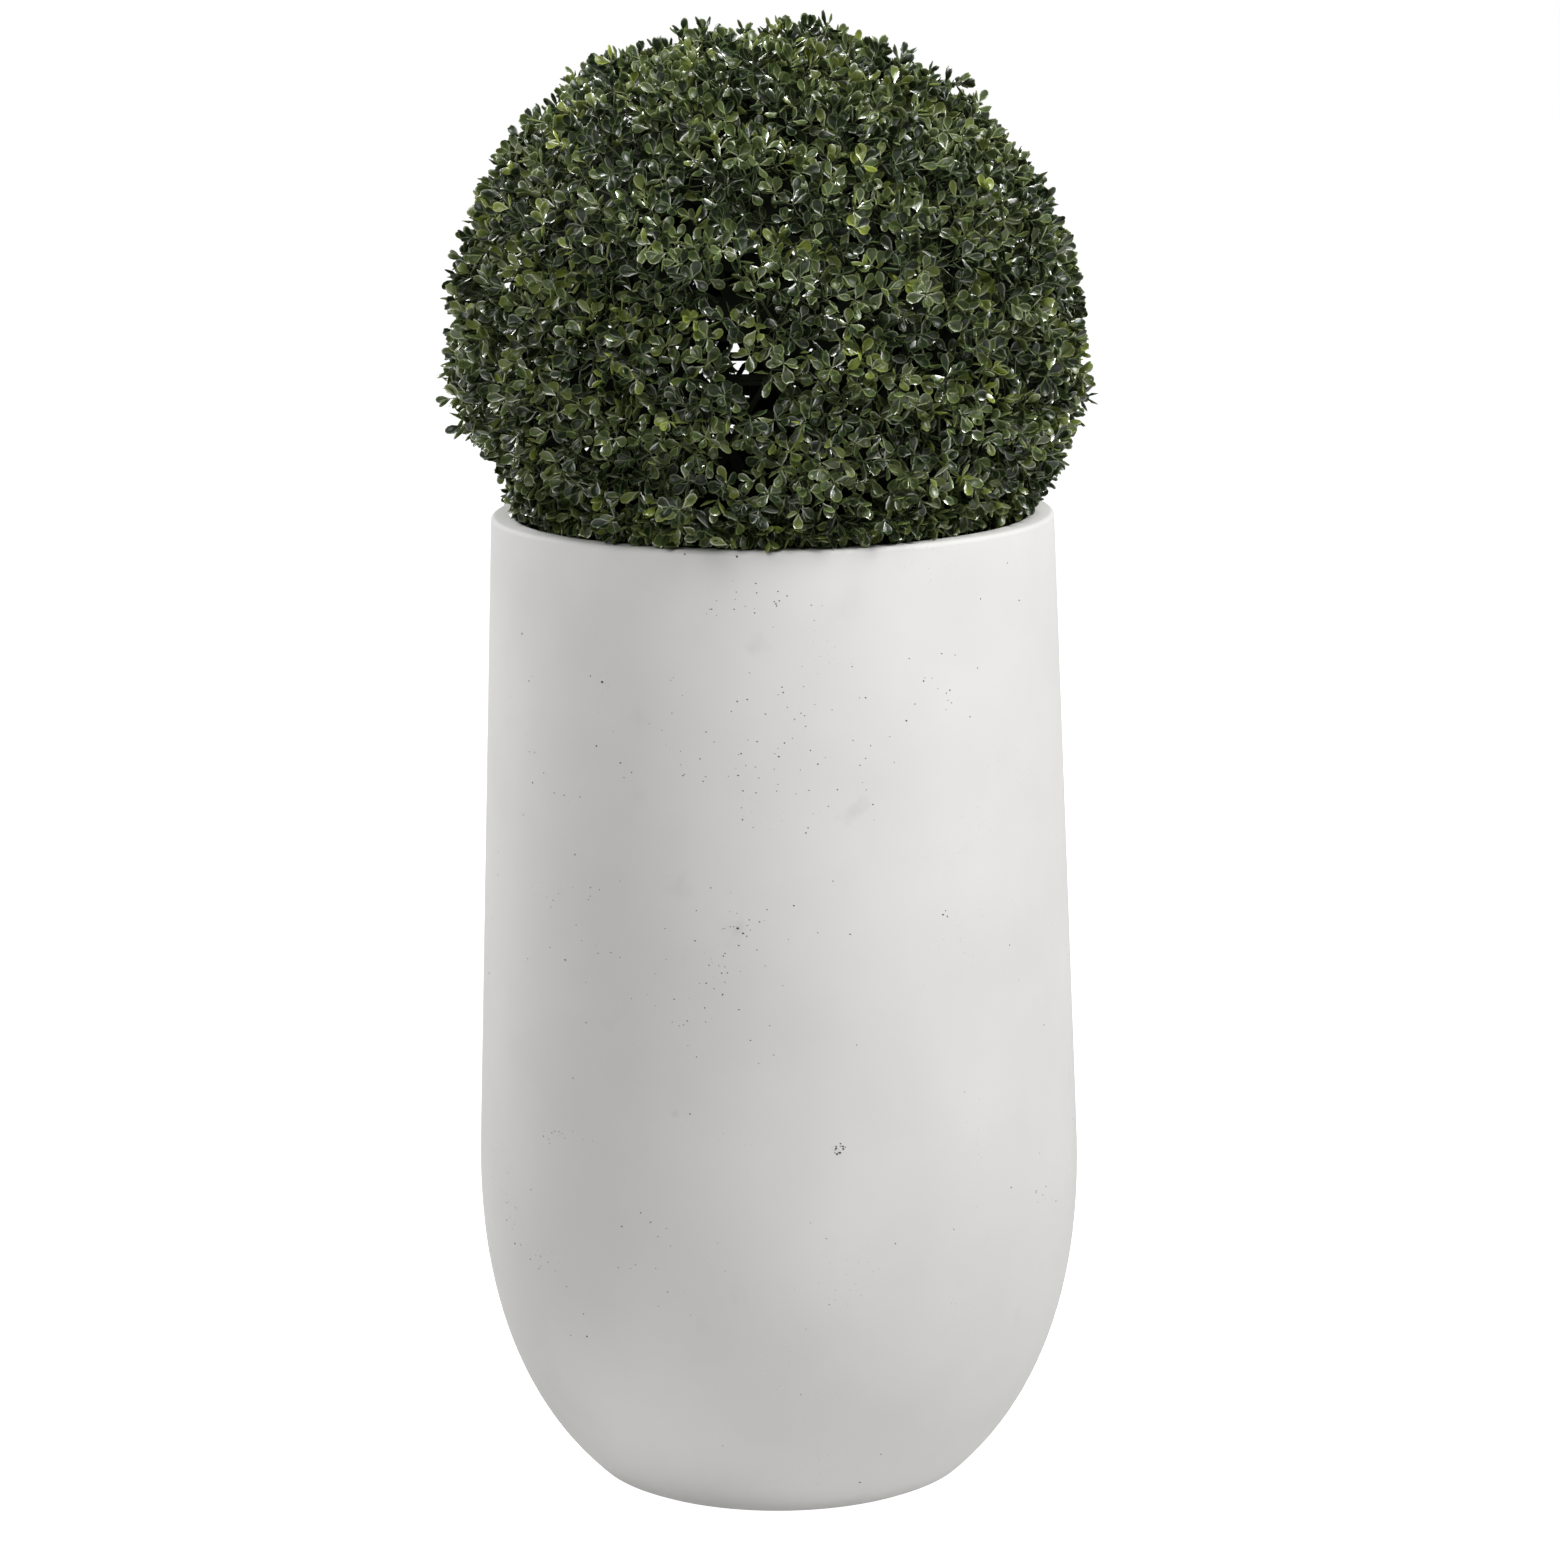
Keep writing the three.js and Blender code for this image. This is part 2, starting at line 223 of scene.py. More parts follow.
def pinhole_places():
    """The turn, height and radius of every pinhole."""
    places = list(PINHOLES)
    for turn, height, across, up, count in PINHOLE_GROUPS:
        for _ in range(count):
            away = turn_across(rng.normal(0, across))
            places.append((turn + away, height + rng.normal(0, up), rng.uniform(*GROUP_HOLE)))
    turn, height, half = CHIP
    for pit in range(CHIP_PITS):
        along = pit / CHIP_PITS * CHIP_ARC * math.pi + rng.normal(0, CHIP_SCATTER)
        reach = half * rng.uniform(*CHIP_REACH)
        away = turn_across(reach * math.cos(along))
        places.append((turn + away, height + reach * math.sin(along), rng.uniform(*CHIP_PIT)))
    for _ in range(STRAY_PINHOLES):
        turn, height = rng.uniform(-180, 180), rng.uniform(*STRAY_HEIGHTS)
        places.append((turn, height, rng.uniform(*GROUP_HOLE)))
    return places


def skin_point(turn, height, standoff=0):
    """A point on the planter's skin, or standing off it, at a turn in degrees from the front."""
    angle = math.radians(turn)
    reach, level = wall_point(height, -standoff)
    return Vector((reach * math.sin(angle), -reach * math.cos(angle), level))


def pinhole_cutters():
    bm = bmesh.new()
    for turn, height, radius in pinhole_places():
        middle = skin_point(turn, height * MM, HOLE_STANDOFF * radius * MM)
        stretch = Matrix.Diagonal((rng.uniform(*HOLE_ACROSS), 1, rng.uniform(*HOLE_UP), 1))
        facing = Matrix.Rotation(math.radians(turn), 4, "Z")
        place = Matrix.Translation(middle) @ facing @ stretch
        bmesh.ops.create_icosphere(bm, subdivisions=1, radius=radius * MM, matrix=place)
    return bm


def add_node(tree, kind, settings=(), **links):
    """One node, with its attributes and unlinked values, and its inputs linked by name."""
    node = tree.nodes.new(kind)
    for key, value in dict(settings).items():
        if hasattr(node, key) and key not in node.inputs:
            setattr(node, key, value)
        else:
            node.inputs[key].default_value = value
    for key, source in links.items():
        tree.links.new(source, node.inputs[key.replace("_", " ")])
    return node


def colour(hex_code):
    """An sRGB hex colour as linear RGBA."""
    channels = [int(hex_code[i : i + 2], 16) / 255 for i in (1, 3, 5)]
    linear = [c / 12.92 if c <= 0.04045 else ((c + 0.055) / 1.055) ** 2.4 for c in channels]
    return (*linear, 1)


def new_material(name, **shader_values):
    material = bpy.data.materials.new(name)
    material.use_nodes = True
    tree = material.node_tree
    shader = tree.nodes["Principled BSDF"]
    for key, value in shader_values.items():
        shader.inputs[key.replace("_", " ")].default_value = value
    return material, tree, shader


def object_place(tree):
    """The place on the object, in metres."""
    return add_node(tree, "ShaderNodeTexCoord").outputs["Object"]


def add_noise(tree, place, grain, detail, roughness=0.5):
    """Noise whose grain has a size in metres."""
    settings = {"Scale": 1 / grain, "Detail": detail, "Roughness": roughness}
    return add_node(tree, "ShaderNodeTexNoise", settings, Vector=place).outputs


def add_range(tree, value, low, high, first=0, last=1):
    """A value between low and high, carried over to between first and last."""
    settings = {"From Min": low, "From Max": high, "To Min": first, "To Max": last}
    return add_node(tree, "ShaderNodeMapRange", settings, Value=value).outputs["Result"]


def add_maths(tree, kind, operation, *terms):
    """A maths node, each of its inputs in turn linked to a socket or set to a value."""
    node = add_node(tree, kind, {"operation": operation})
    for socket, term in zip(node.inputs, terms):
        if isinstance(term, bpy.types.NodeSocket):
            tree.links.new(term, socket)
        else:
            socket.default_value = term
    return node.outputs


def two_tone(tree, share, dark, light, low=0, high=1):
    """A colour that runs from dark to light while the share runs from low to high."""
    ramp = add_node(tree, "ShaderNodeValToRGB", Fac=share)
    for stop, position, tone in zip(ramp.color_ramp.elements, (low, high), (dark, light)):
        stop.position = position
        stop.color = colour(tone)
    return ramp.outputs["Color"]


def stained(tree, share, tone, stain):
    """A tone that a stain covers by a share."""
    mix = add_node(tree, "ShaderNodeMix", {"data_type": "RGBA"}, Factor=share)
    first, second = mix.inputs[6:8]
    tree.links.new(tone, first)
    second.default_value = colour(stain)
    return mix.outputs[2]


def add_bump(tree, shader, height, strength, depth):
    bump = add_node(
        tree, "ShaderNodeBump", {"Strength": strength, "Distance": depth}, Height=height
    )
    tree.links.new(bump.outputs["Normal"], shader.inputs["Normal"])


def fibre_cement():
    """Cast fibre-cement: dry and matt, nearly neutral, with cloudy tone, faint grey smudges,
    clustered dark specks painted as the shade in fine pinholes, and a skin that is softly
    uneven from the mould."""
    material, tree, shader = new_material("fibre_cement_cast", Roughness=0.82)
    place = object_place(tree)
    cloud = add_noise(tree, place, 170 * MM, 3)["Fac"]
    tone = two_tone(tree, cloud, "#cecdcb", "#d5d4d2", 0.34, 0.66)
    rubbed = add_noise(tree, place, 60 * MM, 5, 0.65)["Fac"]
    patch = add_range(tree, rubbed, 0.64, 0.82, 0, 0.14)
    ragged = add_noise(tree, place, 24 * MM, 4)["Color"]
    push = Vector.Fill(3, SMUDGE_PUSH)
    pushed = add_maths(tree, "ShaderNodeVectorMath", "MULTIPLY_ADD", ragged, 2 * push, place)
    for turn, height, half, strength in SMUDGES:
        spot = skin_point(turn, height * MM) + push
        away = add_maths(tree, "ShaderNodeVectorMath", "DISTANCE", pushed["Vector"], spot)
        near = add_range(tree, away["Value"], SMUDGE_CORE * half * MM, half * MM, 1, 0)
        broken = add_maths(tree, "ShaderNodeMath", "MULTIPLY", near, rubbed)["Value"]
        joined = add_maths(tree, "ShaderNodeMath", "MULTIPLY_ADD", broken, strength, patch)
        patch = joined["Value"]
    smudged = stained(tree, patch, tone, "#aeaca8")
    # Dark specks in crowded patches: painted shade of fine pinholes too small to cut.
    cells = add_node(tree, "ShaderNodeTexVoronoi", {"Scale": 1 / (5 * MM)}, Vector=place)
    pinhole_shade_speck = add_range(tree, cells.outputs["Distance"], 0.05, 0.09, 1, 0)
    crowd = add_range(tree, add_noise(tree, place, 75 * MM, 2)["Fac"], 0.56, 0.66)
    pinhole_shade_dots = add_maths(tree, "ShaderNodeMath", "MULTIPLY", pinhole_shade_speck, crowd)["Value"]
    tree.links.new(stained(tree, pinhole_shade_dots, smudged, "#8d8b88"), shader.inputs["Base Color"])
    add_bump(tree, shader, add_noise(tree, place, 9 * MM, 5)["Fac"], 0.12, 0.6 * MM)
    return material


def mottled(name, grain, detail, tones, limits=(0, 1), **shader_values):
    """A material whose tone drifts between two colours, over a grain's size in metres."""
    material, tree, shader = new_material(name, **shader_values)
    place = object_place(tree)
    drift = add_noise(tree, place, grain, detail)["Fac"]
    tree.links.new(two_tone(tree, drift, *tones, *limits), shader.inputs["Base Color"])
    return material, tree, shader, place


def cut_pinholes(planter, holes):
    """The planter with its pinholes cut in, the inside of each in the second material, whose dark
    colour is painted shade.
    """
    mesh = to_mesh(pinhole_cutters(), "pinhole_cutters")
    mesh.materials.append(holes)
    cutter = new_object("pinhole_cutters", mesh)
    cut = planter.modifiers.new("pinholes", "BOOLEAN")
    cut.operation = "DIFFERENCE"
    cut.solver = "MANIFOLD"
    cut.material_mode = "TRANSFER"
    cut.object = cutter
    graph = bpy.context.evaluated_depsgraph_get()
    carved = bpy.data.meshes.new_from_object(planter.evaluated_get(graph))
    planter.modifiers.clear()
    planter.data = carved
    bpy.data.objects.remove(cutter)
    bm = bmesh.new()
    bm.from_mesh(carved)
    smooth_faces(bm)
    bm.to_mesh(carved)
    bm.free()


planter_mesh = to_mesh(turned(planter_profile(), PLANTER_STEPS), "planter_tub")
planter = make_piece(planter_mesh, [fibre_cement()], "planter", "planter")
# The insides of the pinholes are painted dark with a fine grit: painted shade in the holes.
pinhole_shade, *_ = mottled("painted_shade_in_pinholes", 1 * MM, 2, ("#4a4845", "#7a7774"), Roughness=0.95)
cut_pinholes(planter, pinhole_shade)


# Ballast: loose baked-clay granules that fill the planter and weigh it down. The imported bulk
# keeps its solid, and a layer of single granules lies over its level top.
GRANULE_RADIUS = 6.5 * MM
GRANULE_PITCH = 11 * MM
GRANULE_SHAPES = 3
GRANULE_BUMPS = 0.3
GRANULE_BUMP_SIZE = 1.3
GRANULE_FLATNESS = 0.8
GRANULE_SHIFT = 1.2 * MM
GRANULE_LIFT = (2, 5)
fill_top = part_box("ballast_fill")[1].z
FILL_RADIUS = outer_radius(fill_top) - WALL_THICKNESS - 2 * MM
STEM_CLEARING = 34 * MM


def template(bm):
    """A small mesh as arrays, to be copied many times."""
    bm.verts.ensure_lookup_table()
    bm.faces.ensure_lookup_table()
    points = np.array([v.co for v in bm.verts])
    corners = [np.array([v.index for v in f.verts]) for f in bm.faces]
    looks = np.array([f.material_index for f in bm.faces])
    soft = np.array([f.smooth for f in bm.faces])
    bm.free()
    return points, corners, looks, soft


def joined_mesh(name, places, corners, looks, soft):
    """One mesh of many like parts. Places is n x points x 3; the rest are the corners, the
    material and the smoothness of each face of one part."""
    count, size = places.shape[:2]
    loops = np.concatenate(corners) + size * np.arange(count)[:, None]
    totals = np.tile([len(face) for face in corners], count)
    mesh = bpy.data.meshes.new(name)
    mesh.vertices.add(count * size)
    mesh.vertices.foreach_set("co", places.astype(np.float32).ravel())
    mesh.loops.add(loops.size)
    mesh.loops.foreach_set("vertex_index", loops.astype(np.int32).ravel())
    mesh.polygons.add(len(totals))
    starts = np.cumsum(totals) - totals
    mesh.polygons.foreach_set("loop_start", starts.astype(np.int32))
    mesh.polygons.foreach_set("material_index", np.tile(looks, count).astype(np.int32))
    mesh.update(calc_edges=True)
    mesh.polygons.foreach_set("use_smooth", np.tile(soft, count))
    mesh.validate()
    return mesh


def copies_mesh(name, shape, bases, spots):
    """One mesh of many copies: bases is n x 3 x 3 (rows are the copy's axes), spots n x 3."""
    points, *faces = shape
    places = np.einsum("vk,nkj->nvj", points, bases) + spots[:, None, :]
    return joined_mesh(name, places, *faces)


def granule_shape(index):
    bm = bmesh.new()
    bmesh.ops.create_icosphere(bm, subdivisions=2, radius=GRANULE_RADIUS)
    shift = Vector((7 * index, 0, 0))
    for vert in bm.verts:
        bump = noise.noise(vert.co / GRANULE_RADIUS * GRANULE_BUMP_SIZE + shift)
        vert.co *= 1 + GRANULE_BUMPS * bump
        vert.co.z *= GRANULE_FLATNESS
    for face in bm.faces:
        face.smooth = True
    return template(bm)


def granule_places():
    """A loose hexagonal layer of spots within the planter's wall and off the stem's foot."""
    rows = int(2 * FILL_RADIUS / GRANULE_PITCH) + 2
    spots = []
    for row in range(-rows, rows + 1):
        for column in range(-rows, rows + 1):
            x = (column + 0.5 * (row % 2)) * GRANULE_PITCH + rng.normal(0, GRANULE_SHIFT)
            y = row * GRANULE_PITCH * math.sqrt(3) / 2 + rng.normal(0, GRANULE_SHIFT)
            if STEM_CLEARING < math.hypot(x, y) < FILL_RADIUS - GRANULE_RADIUS:
                spots.append((x, y, fill_top + rng.uniform(*GRANULE_LIFT) * MM))
    return np.array(spots)


def random_turns(count):
    """Random orthonormal bases, one for each copy."""
    first = rng.normal(size=(count, 3))
    first /= np.linalg.norm(first, axis=1)[:, None]
    second = np.cross(first, rng.normal(size=(count, 3)))
    second /= np.linalg.norm(second, axis=1)[:, None]
    return np.stack([first, second, np.cross(first, second)], axis=1)


def baked_clay(name, *tones):
    """Baked clay granules: dull brown, porous and dry, each a little different in tone."""
    material, tree, shader, place = mottled(
        name, 14 * MM, 4, tones, (0.35, 0.68), Roughness=0.92
    )
    pores = add_node(tree, "ShaderNodeTexVoronoi", {"Scale": 1 / (3 * MM)}, Vector=place)
    add_bump(tree, shader, pores.outputs["Distance"], 0.5, 0.8 * MM)
    return material


clay = baked_clay("baked_clay_granules", "#4a382b", "#8a6b52")
# The bulk is a darker copy of the granules' clay: painted shade under the top layer.
clay_bulk = baked_clay("baked_clay_bulk_in_painted_shade", "#3a2d23", "#6f5745")
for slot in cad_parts["ballast_fill"].material_slots:
    slot.material = clay_bulk
granule_spots = granule_places()
for index in range(GRANULE_SHAPES):
    spots = granule_spots[index::GRANULE_SHAPES]
    name = f"ballast_granules_{index + 1}"
    layer = copies_mesh(name, granule_shape(index), random_turns(len(spots)), spots)
    make_piece(layer, [clay], "ballast")


# Stem: a short length of wood with its rough bark on, flared at the foot, that stands on the
# ballast and runs up to the middle of the ball, where the ball's hub rests on its top.
STEM_FOOT_RADIUS = 26 * MM
STEM_FLARE_HEIGHT = 34 * MM
STEM_RADIUS = 15 * MM
STEM_TIP_RADIUS = 11 * MM
STEM_SIDES = 40
STEM_RINGS = 90
FLARE_POWER = 1.6
BARK_RELIEF = 1.1 * MM
# The size of the bark's furrows and of the finer cracks in it, across and along the stem.
BARK_FURROW = (5 * MM, 5 * MM, 26 * MM)
BARK_CRACK = (2 * MM, 2 * MM, 8 * MM)
FURROW_SHARE = 1.4
CRACK_SHARE = 0.3
stem_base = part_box("short_stem")[0].z
stem_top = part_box("short_stem")[1].z


def stem_radius(height):
    flare = max(1 - height / STEM_FLARE_HEIGHT, 0) ** FLARE_POWER
    up = max(height - STEM_FLARE_HEIGHT, 0) / (stem_top - stem_base - STEM_FLARE_HEIGHT)
    body = STEM_RADIUS + (STEM_TIP_RADIUS - STEM_RADIUS) * up
    return body + (STEM_FOOT_RADIUS - STEM_RADIUS) * flare


def bark_depth(point):
    """Depth of the bark's long furrows and its cracks at a point of the stem."""
    furrow, crack = (
        abs(noise.noise(Vector([along / size for along, size in zip(point, sizes)])))
        for sizes in (BARK_FURROW, BARK_CRACK)
    )
    return BARK_RELIEF * (furrow * FURROW_SHARE + CRACK_SHARE * crack)


def make_stem():
    heights = np.linspace(0, stem_top - stem_base, STEM_RINGS)
    profile = [(stem_radius(height), stem_base + height) for height in heights]
    bm = turned([(0, stem_base), *profile, (0, stem_top)], STEM_SIDES)
    for vert in bm.verts:
        reach = math.hypot(vert.co.x, vert.co.y)
        if reach > MM and stem_base < vert.co.z < stem_top:
            vert.co.xy *= 1 - bark_depth(vert.co) / reach
    smooth_faces(bm)
    return to_mesh(bm, "barked_stem")


def stem_bark():
    """Dry bark: grey-brown, darker in its furrows, with a fibrous, dull surface."""
    material, tree, shader = new_material("dry_bark", Roughness=0.88)
    stretch = [1 / size for size in BARK_FURROW]
    drawn = add_node(tree, "ShaderNodeMapping", {"Scale": stretch}, Vector=object_place(tree))
    fibre = add_noise(tree, drawn.outputs["Vector"], 1, 6)["Fac"]
    tone = two_tone(tree, fibre, "#3b2c20", "#7d664f", 0.35, 0.7)
    tree.links.new(tone, shader.inputs["Base Color"])
    add_bump(tree, shader, fibre, 0.6, 0.8 * MM)
    return material


make_piece(make_stem(), [stem_bark()], "stem", "short_stem")


# Ball frame: two moulded dark-green plastic half shells of open lattice that clip together
# at the waist. Round sockets on the lattice take the sprigs, and a hub tube with four spokes
# inside the lower half drops over the stem and carries the ball.
BALL_CENTRE = Vector((0, 0, 976 * MM))
LATTICE_RADIUS = 222 * MM
LATTICE_DEPTH = 3 * MM
STRUT_HALF = 4.6 * MM
WAIST_GAP = 0.3 * MM
SOCKET_RADIUS = 15 * MM
SOCKET_DEPTH = 4 * MM
SOCKET_TAPER = 0.7
SOCKET_SIDES = 10
HUB_WALL = 3 * MM
HUB_CLEARANCE = 1 * MM
HUB_OPENING = 48 * MM
HUB_COLLAR = 2 * MM
HUB_SIDES = 32
SPOKE_SIZE = 7 * MM
WAIST_WIDTH = 9 * MM
WAIST_LIP = 4 * MM
WAIST_SIDES = 96
HALVES = ((1, "upper"), (-1, "lower"))

# The rule that the sprigs follow: an even golden spiral from the top down, and for each
# sprig its own seeded generator of numbers from 0 to 1.
FOLIAGE_SEED = 5501
SPRIG_COUNT = 84
LOWEST_SPRIG = -0.8
GOLDEN_ANGLE = math.pi * (3 - math.sqrt(5))
RANDOM_MODULUS = 2147483647
RANDOM_FACTOR = 16807
RANDOM_WARM_UP = 4
POLE_ZONE = 0.9


def make_random(seed):
    state = seed % RANDOM_MODULUS

    def random():
        nonlocal state
        state = state * RANDOM_FACTOR % RANDOM_MODULUS
        return state / RANDOM_MODULUS

    for _ in range(RANDOM_WARM_UP):
        random()
    return random


def spiral_direction(index, count):
    height = 1 - (index + 0.5) / count * (1 - LOWEST_SPRIG)
    ring = math.sqrt(1 - height * height)
    turn = index * GOLDEN_ANGLE
    return Vector((ring * math.cos(turn), ring * math.sin(turn), height))


def leaning(outward, angle, turn):
    """A direction that leans off the outward one by an angle, turned about it."""
    at_pole = abs(outward.z) > POLE_ZONE
    reference = Vector((1, 0, 0)) if at_pole else Vector((0, 0, 1))
    east = reference.cross(outward).normalized()
    north = outward.cross(east)
    level = east * math.cos(turn) + north * math.sin(turn)
    return outward * math.cos(angle) + level * math.sin(angle)


# Places on the ball are a turn about the axis from the front and a height above the waist,
# both in degrees. The open dark spots also have their half width in degrees. Some in front
# are in line with ones at the back, where a little daylight comes through.
GAPS = (
    (-8.5, 17, 3.0), (-5.5, -14, 2.6), (-46, -16, 4.0), (-8, 5, 2.6), (-4, 1.5, 3.2),
    (0, -3, 2.6), (0, 14, 2.2), (-12, 28.5, 2.2), (-171, -6.5, 2.9), (-176, -11, 3.0),
    (-179, 3, 3.0), (-167, 20, 3.4), (120, 20, 4.5),
)
# The lattice is left out where the ball is more open than this.
WINDOW_DEPTH = 0.1


def nearness(direction, turn, rise, width):
    """From 1 at a place on the ball to 0 at a width in degrees away from it, and below."""
    a, b = math.radians(turn), math.radians(rise)
    middle = Vector((math.sin(a) * math.cos(b), -math.cos(a) * math.cos(b), math.sin(b)))
    away = math.degrees(direction.angle(middle)) / width
    return 1 - away * away


def gap_depth(direction):
    """How open the ball is towards a direction, from 0 to 1."""
    return max(0, *(nearness(direction, *gap) for gap in GAPS))


def add_lattice(bm):
    """The lattice of a whole shell, with a window wherever the ball is open."""
    bmesh.ops.create_icosphere(bm, subdivisions=4, radius=LATTICE_RADIUS)
    holes = bm.faces[:]
    struts = bmesh.ops.inset_individual(
        bm, faces=holes, thickness=STRUT_HALF, depth=0, use_even_offset=True
    )["faces"]
    windows = [
        face for face in struts
        if gap_depth(face.calc_center_median().normalized()) > WINDOW_DEPTH
    ]
    bmesh.ops.delete(bm, geom=holes + windows, context="FACES")


def add_part(bm, part):
    """Moves the mesh of a part into another."""
    mesh = to_mesh(part, "part")
    bm.from_mesh(mesh)
    bpy.data.meshes.remove(mesh)


def add_sockets(bm, side):
    """The sockets of one half, cut off at the waist."""
    sockets = bmesh.new()
    for index in range(SPRIG_COUNT):
        outward = spiral_direction(index, SPRIG_COUNT)
        turn = outward.to_track_quat("Z", "Y").to_matrix().to_4x4()
        place = Matrix.Translation(outward * (LATTICE_RADIUS + LATTICE_DEPTH / 2)) @ turn
        bmesh.ops.create_cone(
            sockets, cap_ends=True, cap_tris=False, segments=SOCKET_SIDES, radius1=SOCKET_RADIUS,
            radius2=SOCKET_RADIUS * SOCKET_TAPER, depth=SOCKET_DEPTH, matrix=place,
        )
    across = [v for v in sockets.verts if side * v.co.z < 0]
    bmesh.ops.delete(sockets, geom=across, context="VERTS")
    add_part(bm, sockets)


def frame_half(side):
    """One half shell, side +1 above the waist and -1 below it."""
    bm = bmesh.new()
    add_lattice(bm)
    bmesh.ops.bisect_plane(
        bm, geom=bm.verts[:] + bm.edges[:] + bm.faces[:], plane_co=(0, 0, side * WAIST_GAP / 2),
        plane_no=(0, 0, side), clear_inner=True,
    )
    if side < 0:
        under = [v for v in bm.verts if math.hypot(v.co.x, v.co.y) < HUB_OPENING / 2 and v.co.z < 0]
        bmesh.ops.delete(bm, geom=under, context="VERTS")
    bmesh.ops.recalc_face_normals(bm, faces=bm.faces)
    outward = sum(face.normal.dot(face.calc_center_median()) for face in bm.faces)
    if outward < 0:
        bmesh.ops.reverse_faces(bm, faces=bm.faces)
    bmesh.ops.solidify(bm, geom=bm.faces[:], thickness=LATTICE_DEPTH)
    return bm


def add_turned(bm, profile, steps):
    """A closed ring profile of (radius, height) points turned into the mesh."""
    add_part(bm, turned([*profile, profile[0]], steps))


def add_hub(bm):
    """The tube over the stem, its closed top, its collar in the shell and the four spokes."""
    inner = STEM_RADIUS + HUB_CLEARANCE
    outer = inner + HUB_WALL
    collar = HUB_OPENING / 2 + HUB_COLLAR
    foot = -math.sqrt(LATTICE_RADIUS**2 - (HUB_OPENING / 2) ** 2)
    tube = [(inner, foot), (outer, foot), (outer, -HUB_WALL), (inner, -HUB_WALL)]
    add_turned(bm, tube, HUB_SIDES)
    ring = [(outer, foot), (collar, foot), (collar, foot + HUB_WALL), (outer, foot + HUB_WALL)]
    add_turned(bm, ring, HUB_SIDES)
    reach = LATTICE_RADIUS - outer
    for quarter in range(4):
        turn = Matrix.Rotation(quarter * math.pi / 2, 4, "Z")
        middle = Matrix.Translation((outer + reach / 2, 0, -SPOKE_SIZE / 2 - 2 * WAIST_GAP))
        size = Matrix.Diagonal((reach, SPOKE_SIZE, SPOKE_SIZE, 1))
        bmesh.ops.create_cube(bm, size=1, matrix=turn @ middle @ size)


def add_waist_ring(bm, side):
    outer = LATTICE_RADIUS
    inner = outer - WAIST_WIDTH
    level = side * WAIST_GAP / 2
    lip = side * WAIST_LIP
    ring = [(inner, level), (outer, level), (outer, level + lip), (inner, level + lip)]
    add_turned(bm, ring, WAIST_SIDES)


# Injection-moulded polyethylene in dark green: waxy, half matt, almost black in shade.
dark_plastic, *_ = mottled(
    "moulded_frame_plastic", 30 * MM, 3, ("#0b0e08", "#151b0e"), Roughness=0.7, IOR=1.2
)
for side, half in HALVES:
    bm = frame_half(side)
    add_sockets(bm, side)
    add_waist_ring(bm, side)
    if side < 0:
        add_hub(bm)
    bmesh.ops.translate(bm, verts=bm.verts, vec=BALL_CENTRE)
    mesh = to_mesh(bm, f"ball_frame_{half}")
    make_piece(mesh, [dark_plastic], "foliage", f"{half}_foliage")


# Twigs: thin moulded plastic stems. Each sprig plugs into its socket and forks into two
# twigs that lean apart, and many finer curved shoots grow on from every twig, each one
# carrying opposite pairs of leaves.
FORK_RADIUS = 226 * MM
PEG_DEPTH = 8 * MM
SPRIG_LEAN = 0.2
TWIG_LEAN = 0.6
TWIG_LENGTH = 34 * MM
TWIG_RADIUS = 1.7 * MM
TWIG_TIP_SHARE = 0.6
TWIG_SIDES = 6
# A twig that would touch the planter turns outward and gets shorter, step by step.
TWIG_TURN = 0.3
TWIG_TRIM = 0.15

# Fine shoots all over the ball. Each leaves its twig at a share of the twig's length and
# bends at a share of its own.
SHOOT_COUNT = 2550
SHOOT_SEED = 17
SHOOT_REACH = 262 * MM
SHOOT_RADIUS = 0.55 * MM
SHOOT_TAPER = (1.2, 0.7)
SHOOT_STEPS = 5
SHOOT_SIDES = 3
SHOOT_JITTER = 0.028
SHOOT_LEAN = 1.3
LEAN_POWER = 1.1
ROOT_SHARE = 0.25
ROOT_SPREAD = 0.7
SHOOT_BEND = 0.45
SHOOT_SET = 0.1
SHOOT_TRIM = 3 * MM
# They reach less far away from the twigs and in the gaps, where most are left out, as are
# some that the planter hides. Stray ones reach further.
CREVICE_ANGLE = 0.19
CREVICE_LIMIT = 1.3
CREVICE_DEPTH = 26 * MM
GAP_DEPTH = 26 * MM
GAP_EDGE = 0.25
GAP_BARE = 1.3
HIDDEN_BARE = 0.45
REACH_SPREAD = 13 * MM
REACH_SHORT = 0.6
BALL_REACH = 277 * MM
STRAY_SHARE = 0.09
STRAY_REACH = 17 * MM

# More shoots hang down to the rim. Their leaves reach further in front, less on the right.
RIM_SHOOT_COUNT = 300
RIM_SEED = 29
RIM_REACH = 219 * MM
RIM_FRONT_REACH = 15 * MM
RIM_FRONT_SLOPE = 3
RIM_FRONT_START = 1.9
RIM_SIDE_TRIM = 5 * MM
RIM_OVERHANG = 2 * MM
RIM_SPREAD = 9 * MM
RIM_TIP_RISE = 8 * MM
RIM_TIP_SPREAD = 12 * MM
RIM_DROOP = 1.0
RIM_LEAN = 0.4
RIM_BEND = 14 * MM
RIM_CLEARANCE = 0.7 * MM

